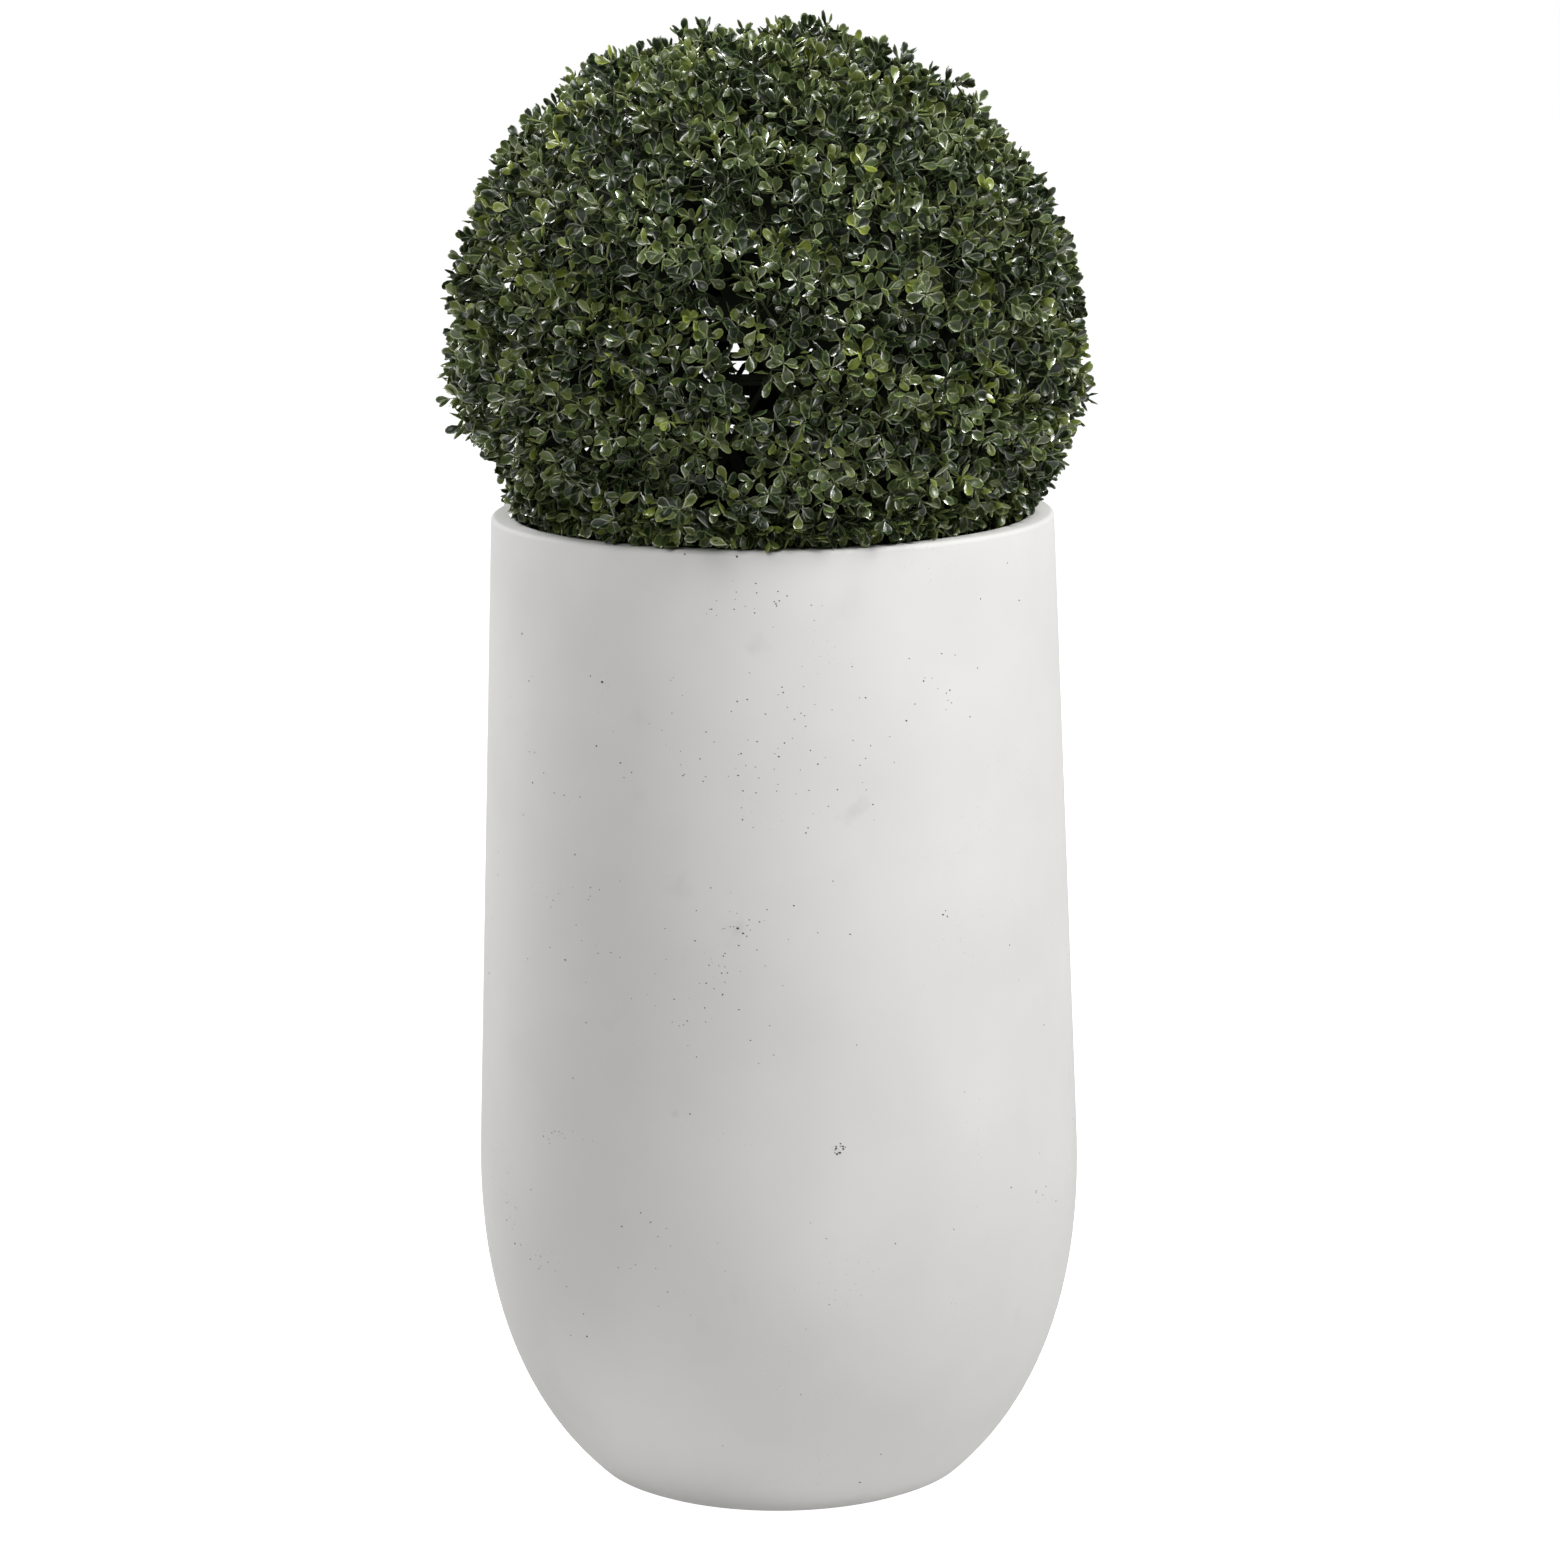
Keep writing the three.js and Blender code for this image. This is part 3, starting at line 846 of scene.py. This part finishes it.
# Lumps and hollows that the clipping left: a place on the ball, the half width in degrees
# and the height in mm.
LUMPS = (
    (-90, 42, 58, 13), (40, 80, 26, 4), (-94, -33, 26, -20), (95, -38, 26, -17),
    (150, 12, 34, 5), (-165, -24, 30, -6), (0, -27, 34, 9), (100, 6, 16, -4),
    (-84, 2, 14, -4), (-70, -20, 14, -4), (56, -34, 20, -9), (-54, -34, 18, -7),
    (-95, 20, 14, 2), (90, 10, 12, -5), (52, -44, 18, -9),
    (90, 35, 14, 3), (-90, 60, 12, 4), (-90, 46, 12, -4), (-90, 80, 14, -7),
    (90, 62, 12, -4), (90, 82, 10, 3),
)


def inside_wall(point):
    """True where a point is in the planter's wall or too close above its rim."""
    reach = math.hypot(point.x, point.y)
    if reach < INNER_MOUTH_RADIUS - RIM_CLEARANCE or reach > MOUTH_RADIUS + 3 * RIM_CLEARANCE:
        return False
    over = max(reach - (MOUTH_RADIUS - LIP_OUTER_ROUND), 0)
    drop = LIP_OUTER_ROUND - math.sqrt(max(LIP_OUTER_ROUND**2 - over * over, 0))
    return point.z < PLANTER_HEIGHT - drop + RIM_CLEARANCE


def rim_reach(point):
    """How far out the leaves lie on the rim: up to its outer edge in front, less all round."""
    level = point.xy.normalized()
    front = min(max(-RIM_FRONT_SLOPE * level.y - RIM_FRONT_START, 0), 1)
    return RIM_REACH + RIM_FRONT_REACH * front - RIM_SIDE_TRIM * max(level.x, 0) * (1 - front)


def lump_height(direction):
    return sum(max(nearness(direction, *place), 0) * height * MM for *place, height in LUMPS)


def grow_sprigs():
    """The two twigs of every sprig by the source's rule: sprig, direction, fork and tip."""
    twigs = []
    for index in range(SPRIG_COUNT):
        outward = spiral_direction(index, SPRIG_COUNT)
        random = make_random(FOLIAGE_SEED * (index + 1))
        turn = random() * 2 * math.pi
        lean = leaning(outward, SPRIG_LEAN * random(), random() * 2 * math.pi)
        fork = BALL_CENTRE + outward * FORK_RADIUS
        for hand in (0, 1):
            along = leaning(lean, TWIG_LEAN, turn + hand * math.pi)
            end = fork + along * TWIG_LENGTH
            while inside_wall(end):
                along = (along + outward * TWIG_TURN).normalized()
                end = end.lerp(fork, TWIG_TRIM)
            twigs.append((index, outward, fork, end))
    return twigs


def bent(start, middle, end, share):
    return start.lerp(middle, share).lerp(middle.lerp(end, share), share)


def nearest(tips, outward):
    """The number of the twig whose tip lies nearest to a direction."""
    return int(np.argmax(tips @ np.array(outward)))


def shoot_start(fork, end, random):
    """Where a shoot leaves its twig."""
    return fork.lerp(end, ROOT_SHARE + ROOT_SPREAD * random())


def grow_shoots(twigs, tips):
    """Fine shoots on a finer spiral, each joined by a curved stem to the nearest twig."""
    shoots = []
    for index in range(SHOOT_COUNT):
        random = make_random(FOLIAGE_SEED * (index + 1) + SHOOT_SEED)
        outward = spiral_direction(index, SHOOT_COUNT)
        outward = leaning(outward, SHOOT_JITTER * random(), random() * 2 * math.pi)
        near = nearest(tips, outward)
        sprig, _, fork, end = twigs[near]
        away = outward.angle(Vector(tips[near])) / CREVICE_ANGLE
        gap = gap_depth(outward)
        lump = lump_height(outward)
        below = (BALL_CENTRE + outward * SHOOT_REACH).z < PLANTER_HEIGHT
        keep = random()
        if (gap > GAP_EDGE and keep < gap * GAP_BARE) or (below and keep < HIDDEN_BARE):
            continue
        reach = SHOOT_REACH - CREVICE_DEPTH * min(away, CREVICE_LIMIT) ** 2 * random()
        reach += REACH_SPREAD * (random() - REACH_SHORT) - GAP_DEPTH * gap + lump
        stray = STRAY_REACH if random() < STRAY_SHARE else 0
        if stray:
            reach += stray * random()
        while inside_wall(tip := BALL_CENTRE + outward * reach):
            reach -= SHOOT_TRIM
        start = shoot_start(fork, end, random)
        facing = leaning(outward, SHOOT_LEAN * random() ** LEAN_POWER, random() * 2 * math.pi)
        span = (tip - start).length
        middle = tip - facing * (SHOOT_BEND * span) - outward * (SHOOT_SET * span)
        if inside_wall(middle):
            middle = (start + tip) / 2
        limit = BALL_REACH + lump + stray
        shoots.append((sprig, outward, start, middle, tip, limit, random))
    return shoots


def grow_rim_shoots(twigs, tips):
    """Shoots that hang down to the rim, each joined to the nearest twig."""
    shoots = []
    for index in range(RIM_SHOOT_COUNT):
        random = make_random(FOLIAGE_SEED * (index + 1) + RIM_SEED)
        turn = index * GOLDEN_ANGLE
        level = Vector((math.cos(turn), math.sin(turn), 0))
        reach = rim_reach(level) + RIM_OVERHANG - RIM_SPREAD * random()
        rise = RIM_TIP_RISE + RIM_TIP_SPREAD * random()
        tip = level * reach + Vector((0, 0, PLANTER_HEIGHT + rise))
        outward = (tip - BALL_CENTRE).normalized()
        sprig, _, fork, end = twigs[nearest(tips, outward)]
        start = shoot_start(fork, end, random)
        hanging = level * math.cos(RIM_DROOP) - Vector((0, 0, math.sin(RIM_DROOP)))
        facing = leaning(hanging, RIM_LEAN * random(), random() * 2 * math.pi)
        middle = tip - facing * RIM_BEND
        if not inside_wall(tip) and not inside_wall(middle):
            shoots.append((sprig, outward, start, middle, tip, BALL_REACH, random))
    return shoots


def half_of(sprig):
    """The half of the ball that a sprig is plugged into."""
    return "upper" if spiral_direction(sprig, SPRIG_COUNT).z > 0 else "lower"


def tubes_mesh(name, lines, radii, sides):
    """One mesh of closed tubes that taper along lines of equal point count."""
    lines = np.asarray(lines)
    along = np.gradient(lines, axis=1)
    along /= np.linalg.norm(along, axis=2)[..., None]
    level = np.cross(along, rng.normal(size=(len(lines), 1, 3)))
    level /= np.linalg.norm(level, axis=2)[..., None]
    third = np.cross(along, level)
    angles = np.arange(sides)[:, None] * 2 * math.pi / sides
    ring = level[:, :, None] * np.cos(angles) + third[:, :, None] * np.sin(angles)
    places = lines[:, :, None] + ring * radii[:, None, None]
    rings = np.arange(len(radii) * sides).reshape(-1, sides)
    after = np.roll(rings, -1, axis=1)
    walls = np.stack([rings[:-1], after[:-1], after[1:], rings[1:]], axis=2).reshape(-1, 4)
    corners = [*walls, rings[0][::-1], rings[-1]]
    looks, soft = [0] * len(corners), [True] * len(corners)
    return joined_mesh(name, places.reshape(len(lines), -1, 3), corners, looks, soft)


def moulded_plastic(name, hex_code, roughness, gloss=0.5, ior=1.51):
    """Moulded polyethylene, coloured right through: one plain tone, with a satin gloss
    that throws small bright glints."""
    return new_material(
        name, Base_Color=colour(hex_code), Roughness=roughness, IOR=ior, Specular_IOR_Level=gloss
    )[0]


stem_plastic = moulded_plastic("moulded_twig_plastic", "#5d6a45", 0.4)
twigs = grow_sprigs()
tips = np.array([(end - BALL_CENTRE).normalized() for *_, end in twigs])
shoots = grow_shoots(twigs, tips) + grow_rim_shoots(twigs, tips)
for _, half in HALVES:
    lines = [
        [fork - outward * PEG_DEPTH, fork, fork.lerp(end, 0.5), end]
        for sprig, outward, fork, end in twigs if half_of(sprig) == half
    ]
    radii = TWIG_RADIUS * np.linspace(1, TWIG_TIP_SHARE, 4)
    mesh = tubes_mesh(f"sprig_twigs_{half}", lines, radii, TWIG_SIDES)
    make_piece(mesh, [stem_plastic], "foliage", f"{half}_foliage")
    lines = [
        [bent(start, middle, tip, share) for share in np.linspace(0, 1, SHOOT_STEPS)]
        for sprig, _, start, middle, tip, *_ in shoots if half_of(sprig) == half
    ]
    radii = SHOOT_RADIUS * np.linspace(*SHOOT_TAPER, SHOOT_STEPS)
    mesh = tubes_mesh(f"fine_shoots_{half}", lines, radii, SHOOT_SIDES)
    make_piece(mesh, [stem_plastic], "foliage", f"{half}_foliage")


# Leaves: small cupped box leaves of moulded polyethylene, widest past the middle on a short
# narrow stalk, with a raised margin that is paler partly in its own colour and partly as a
# painted highlight. Some have a notched tip. They sit in opposite pairs, each pair a quarter
# turn on from the last, and their greens vary by shoot.
LEAF_LENGTH = 16.4 * MM
LEAF_WIDTH = 9.6 * MM
LEAF_CUP = 2.5 * MM
CUP_SHARE = 0.55
WIDEST = 0.64
STALK_SHARE = 0.1
STALK_WIDTH = 0.05
FOOT_POWER = 0.6
MARGIN_RISE = 0.5 * MM
MARGIN_WIDTH = 1.0 * MM
LEAF_SEGMENTS = 12
LEAF_END = 0.01
# The outlines: how deep the tip is notched and how broad the leaf is, as shares.
OUTLINES = {"round": (0, 1), "notched": (0.09, 1.04), "slim": (0, 0.86)}

# How the leaves sit on a shoot, in pairs down from its tip.
LEAF_PAIRS = 4
PAIR_GAP = 4.6 * MM
LOWEST_PAIR = 0.1
AXIS_STEP = 0.08
LEAF_TILTS = (0.5, 0.85, 1.1, 1.25)
TILT_SPREAD = 0.7
TURN_SPREAD = 0.6
TWIST_SPREAD = 0.3
ROLL_SPREAD = 1.0
TIP_SIZE = 0.86
LEAST_SIZE = 0.84
SIZE_SPREAD = 0.26
LEAF_TRIES = 7

# Close above the rim the leaves end at a ragged line, and steep ones come down to rest.
RIM_ZONE = 12 * MM
RIM_SLOPE = 3
RAGGED_DEPTH = 26 * MM
RAGGED_GRAIN = 7 * MM
STEEP_DROP = 0.6
LEAST_REST = 0.7
MOST_REST = 1.2
SIDE_SHARE = 0.6

# The greens, by blade and margin: name, colour, roughness, gloss and the margin's index of
# refraction. The margins' paler colours are partly their own and partly a painted highlight,
# the bright ring that the raised rim catches.
GREENS = {
    "deep": (
        ("leaf_plastic_deep_green", "#1d2913", 0.35, 0.52),
        ("leaf_margin_grey_green_and_painted_highlight", "#4c5c35", 0.29, 0.9, 1.75),
    ),
    "mid": (
        ("leaf_plastic_mid_green", "#48572d", 0.35, 0.74),
        ("leaf_margin_pale_green_and_painted_highlight", "#7e8b54", 0.27, 1.0, 1.9),
    ),
    "olive": (
        ("leaf_plastic_olive_green", "#5f6e2e", 0.35, 0.74),
        ("leaf_margin_light_olive_and_painted_highlight", "#878f54", 0.27, 1.0, 1.9),
    ),
    "young": (
        ("leaf_plastic_yellow_green", "#76832f", 0.35, 0.74),
        ("leaf_margin_light_yellow_green_and_painted_highlight", "#a0ab5c", 0.27, 1.0, 1.9),
    ),
}
# Up to which share leaves are young, olive or mid. A shoot's tint adds to the first two. It
# is higher on the ball's left and in tufts, whose place and half width are in degrees.
YOUNG_SHARE = 0.012
YOUNG_TIP_TINT = 0.12
YOUNG_TINT = 0.04
OLIVE_SHARE = 0.1
OLIVE_TINT = 0.2
MID_SHARE = 0.55
MIXED_SHARE = 0.4
TINT_SEED = 31
TINT_LEVEL = 0.8
TINT_SLOPE = 0.5
TUFT_TINT = 2.2
YOUNG_TUFTS = ((-29, 2, 7.5), (-62, 30, 6), (-58, 8, 5), (150, 25, 8))


def leaf_outline(along):
    """Half width of the leaf, as a share of its width, from its foot (0) to its tip (1)."""
    if along > WIDEST:
        return math.sqrt(max(1 - ((along - WIDEST) / (1 - WIDEST)) ** 2, 0)) / 2
    rise = max((along - STALK_SHARE) / (WIDEST - STALK_SHARE), 0)
    return (rise * rise * (3 - 2 * rise)) ** FOOT_POWER / 2


def leaf_shape(notch, breadth):
    """A leaf as arrays: its blade cupped, and its margin raised."""
    bm = bmesh.new()
    bmesh.ops.create_circle(bm, cap_ends=True, segments=LEAF_SEGMENTS, radius=1)
    for vert in bm.verts:
        turn = math.atan2(vert.co.x, vert.co.y)
        along = (1 + math.cos(turn)) / 2
        half_width = max(leaf_outline(along), STALK_WIDTH) * LEAF_WIDTH * breadth
        foot, tip = along < LEAF_END, along > 1 - LEAF_END
        level = 0 if tip or foot else math.copysign(half_width, -math.sin(turn))
        reach = along - (notch if tip else 0)
        vert.co = Vector((reach * LEAF_LENGTH, level, 0))
    bmesh.ops.recalc_face_normals(bm, faces=bm.faces)
    (face,) = bm.faces
    depth = -MARGIN_RISE * face.normal.z
    rim = bmesh.ops.inset_individual(
        bm, faces=[face], thickness=MARGIN_WIDTH, depth=depth, use_even_offset=False
    )
    for face in rim["faces"]:
        face.material_index = 1
    blade = [face for face in bm.faces if face.material_index == 0]
    middle = bmesh.ops.poke(bm, faces=blade)
    for vert in middle["verts"]:
        vert.co.x = CUP_SHARE * LEAF_LENGTH
        vert.co.z -= LEAF_CUP - MARGIN_RISE
    for face in bm.faces:
        face.smooth = face.material_index == 0
    return template(bm)


def rested_size(foot, along, size):
    """The size at which a leaf that hangs close above the rim just comes down to it."""
    drop = -along.z * LEAF_LENGTH
    room = foot.z - PLANTER_HEIGHT - 2 * RIM_CLEARANCE
    over = INNER_MOUTH_RADIUS - RIM_ZONE / 2 < foot.xy.length < MOUTH_RADIUS
    if over and drop > STEEP_DROP * LEAF_LENGTH and LEAST_REST < room / drop < MOST_REST:
        return room / drop
    return size


def leaf_fits(start, along, level, limit, size):
    """True if a leaf's tip and sides stay within the ball's reach and off the planter."""
    tip = start + along * (LEAF_LENGTH * size)
    if (tip - BALL_CENTRE).length > limit:
        return False
    middle = start + along * (SIDE_SHARE * LEAF_LENGTH * size)
    side = level * (LEAF_WIDTH / 2 * size)
    spots = (tip, start, middle + side, middle - side)
    low = min(spot.z for spot in spots) - PLANTER_HEIGHT
    if low < -LIP_OUTER_ROUND and tip.xy.length > INNER_MOUTH_RADIUS:
        return False
    ragged = RAGGED_DEPTH * noise.noise(tip / RAGGED_GRAIN)
    if low < RIM_ZONE and tip.xy.length > rim_reach(tip) + low / RIM_SLOPE + ragged:
        return False
    return not any(inside_wall(spot) for spot in spots)


def choose_kind(random, tint, pair):
    """The green of a leaf. More of those at a shoot's tip are young."""
    draw = random()
    if draw < YOUNG_SHARE + tint * (YOUNG_TIP_TINT if pair == 0 else YOUNG_TINT):
        return "young"
    if draw < OLIVE_SHARE + tint * OLIVE_TINT:
        return "olive"
    return "mid" if draw < MID_SHARE else "deep"


def fitted_leaf(foot, axis, pair, turn, usual, limit, random):
    """The axes of a leaf, as long as its size, from the first try that fits, if any."""
    for _ in range(LEAF_TRIES):
        tilt = LEAF_TILTS[pair] + TILT_SPREAD * (random() - 0.5)
        side_turn = turn + TURN_SPREAD * (random() - 0.5)
        along = leaning(axis, tilt, side_turn)
        back = leaning(axis, tilt - math.pi / 2, side_turn)
        roll = ROLL_SPREAD * (random() - 0.5) * 2
        level = back.cross(along).normalized()
        level = level * math.cos(roll) + back * math.sin(roll)
        size = rested_size(foot, along, usual)
        if leaf_fits(foot, along, level, limit, size):
            return Matrix((along, level, along.cross(level))) * size


def grow_leaves(shoot, leaves):
    """Adds the leaves of one shoot to the lists of their half, green and outline."""
    sprig, outward, start, middle, tip, limit, random = shoot
    tint = make_random(FOLIAGE_SEED + TINT_SEED * sprig)() ** 2
    tint *= TINT_LEVEL - TINT_SLOPE * outward.x
    tint = max(tint, *(TUFT_TINT * nearness(outward, *place) for place in YOUNG_TUFTS))
    turn = random() * 2 * math.pi
    span = (tip - start).length + 1 * MM
    shoot_kind = choose_kind(random, tint, 1)
    for pair in range(LEAF_PAIRS):
        share = 1 - pair * PAIR_GAP / span
        if share < LOWEST_PAIR:
            break
        foot = bent(start, middle, tip, share)
        axis = (foot - bent(start, middle, tip, share - AXIS_STEP)).normalized()
        kind = choose_kind(random, tint, pair) if random() < MIXED_SHARE else shoot_kind
        usual = (TIP_SIZE if pair == 0 else 1.0) * (LEAST_SIZE + SIZE_SPREAD * random())
        for hand in (0, 1):
            basis = fitted_leaf(foot, axis, pair, turn + hand * math.pi, usual, limit, random)
            if basis:
                shape = list(OUTLINES)[int(random() * len(OUTLINES))]
                leaves[half_of(sprig), kind, shape].append((basis, foot))
        turn += math.pi / 2 + TWIST_SPREAD * (random() - 0.5)


leaves = {
    (half, kind, shape): [] for _, half in HALVES for kind in GREENS for shape in OUTLINES
}
for shoot in shoots:
    grow_leaves(shoot, leaves)
leaf_shapes = {name: leaf_shape(*outline) for name, outline in OUTLINES.items()}
plastics = {kind: [moulded_plastic(*look) for look in looks] for kind, looks in GREENS.items()}
for (half, kind, shape), placed in leaves.items():
    bases, spots = (np.array(column) for column in zip(*placed))
    mesh = copies_mesh(f"leaves_{kind}_{shape}_{half}", leaf_shapes[shape], bases, spots)
    make_piece(mesh, plastics[kind], "foliage", f"{half}_foliage")


# Studio: a white sweep for a floor, a large soft light high at the right, a farther one
# high behind on the left that lights the planter's edge, a weak low fill at the front
# left and a dim even surround.
FLOOR_SIZE = 40
FLOOR_GLOW = 0.38
SKY_GLOW = 0.08
AIM_HEIGHT = 0.75
# The lights, aimed at the ball's foot: turn from the front in degrees, height, distance,
# width and height of the panel in metres, and radiance.
LIGHTS = {
    "key_softbox": (64, 3.15, 2.25, 1.6, 1.5, 17.2),
    "edge_softbox": (-127, 3.4, 3.6, 1.7, 1.7, 18.5),
    "fill_softbox": (-27, 1.65, 1.06, 0.9, 0.8, 3.15),
}


def seen_or_not(tree, glow):
    """Full strength where the camera sees it directly, less as light on other things."""
    seen = add_node(tree, "ShaderNodeLightPath").outputs["Is Camera Ray"]
    return add_range(tree, seen, 0, 1, glow, 1)


def white_floor():
    """Painted studio floor: flat white and lit so evenly that it shows no shadow."""
    pale, white = (0.55, 0.55, 0.55, 1), (1, 1, 1, 1)
    material, tree, shader = new_material(
        "white_studio_floor", Base_Color=pale, Roughness=0.9, Emission_Color=white
    )
    tree.links.new(seen_or_not(tree, FLOOR_GLOW), shader.inputs["Emission Strength"])
    return material


bm = bmesh.new()
bmesh.ops.create_grid(bm, x_segments=2, y_segments=2, size=FLOOR_SIZE / 2)
floor = new_object("studio_floor", to_mesh(bm, "studio_floor"))
floor.data.materials.append(white_floor())

for name, (turn, height, distance, width, tall, radiance) in LIGHTS.items():
    data = bpy.data.lights.new(name, "AREA")
    data.shape = "RECTANGLE"
    data.size, data.size_y = width, tall
    data.energy = radiance * math.pi * width * tall
    light = new_object(name, data)
    angle = math.radians(turn)
    light.location = (distance * math.sin(angle), -distance * math.cos(angle), height)
    aim = Vector((0, 0, AIM_HEIGHT)) - light.location
    light.rotation_euler = aim.to_track_quat("-Z", "Y").to_euler()

world = bpy.data.worlds.new("studio_surround")
bpy.context.scene.world = world
world.use_nodes = True
sky = world.node_tree
backdrop = sky.nodes["Background"]
backdrop.inputs["Color"].default_value = (1, 1, 1, 1)
sky.links.new(seen_or_not(sky, SKY_GLOW), backdrop.inputs["Strength"])

# The camera of the photograph: about four metres away, a little above the ball, looking
# down, and turned very slightly about its own axis.
CAMERA_PLACE = Vector((0.0041, -4.0, 1.3936))
CAMERA_PITCH = 0.1946
CAMERA_ROLL = 0.0098
PHOTO_WIDTH = 1560
FOCAL_PIXELS = 4725.1
view = bpy.data.cameras.new("camera")
view.sensor_fit = "HORIZONTAL"
view.sensor_width = 36
view.lens = view.sensor_width * FOCAL_PIXELS / PHOTO_WIDTH
camera = new_object("camera", view)
camera.matrix_world = (
    Matrix.Translation(CAMERA_PLACE)
    @ Matrix.Rotation(math.pi / 2 - CAMERA_PITCH, 4, "X")
    @ Matrix.Rotation(-CAMERA_ROLL, 4, "Z")
)
bpy.context.scene.camera = camera
bpy.context.scene.view_settings.view_transform = "Standard"
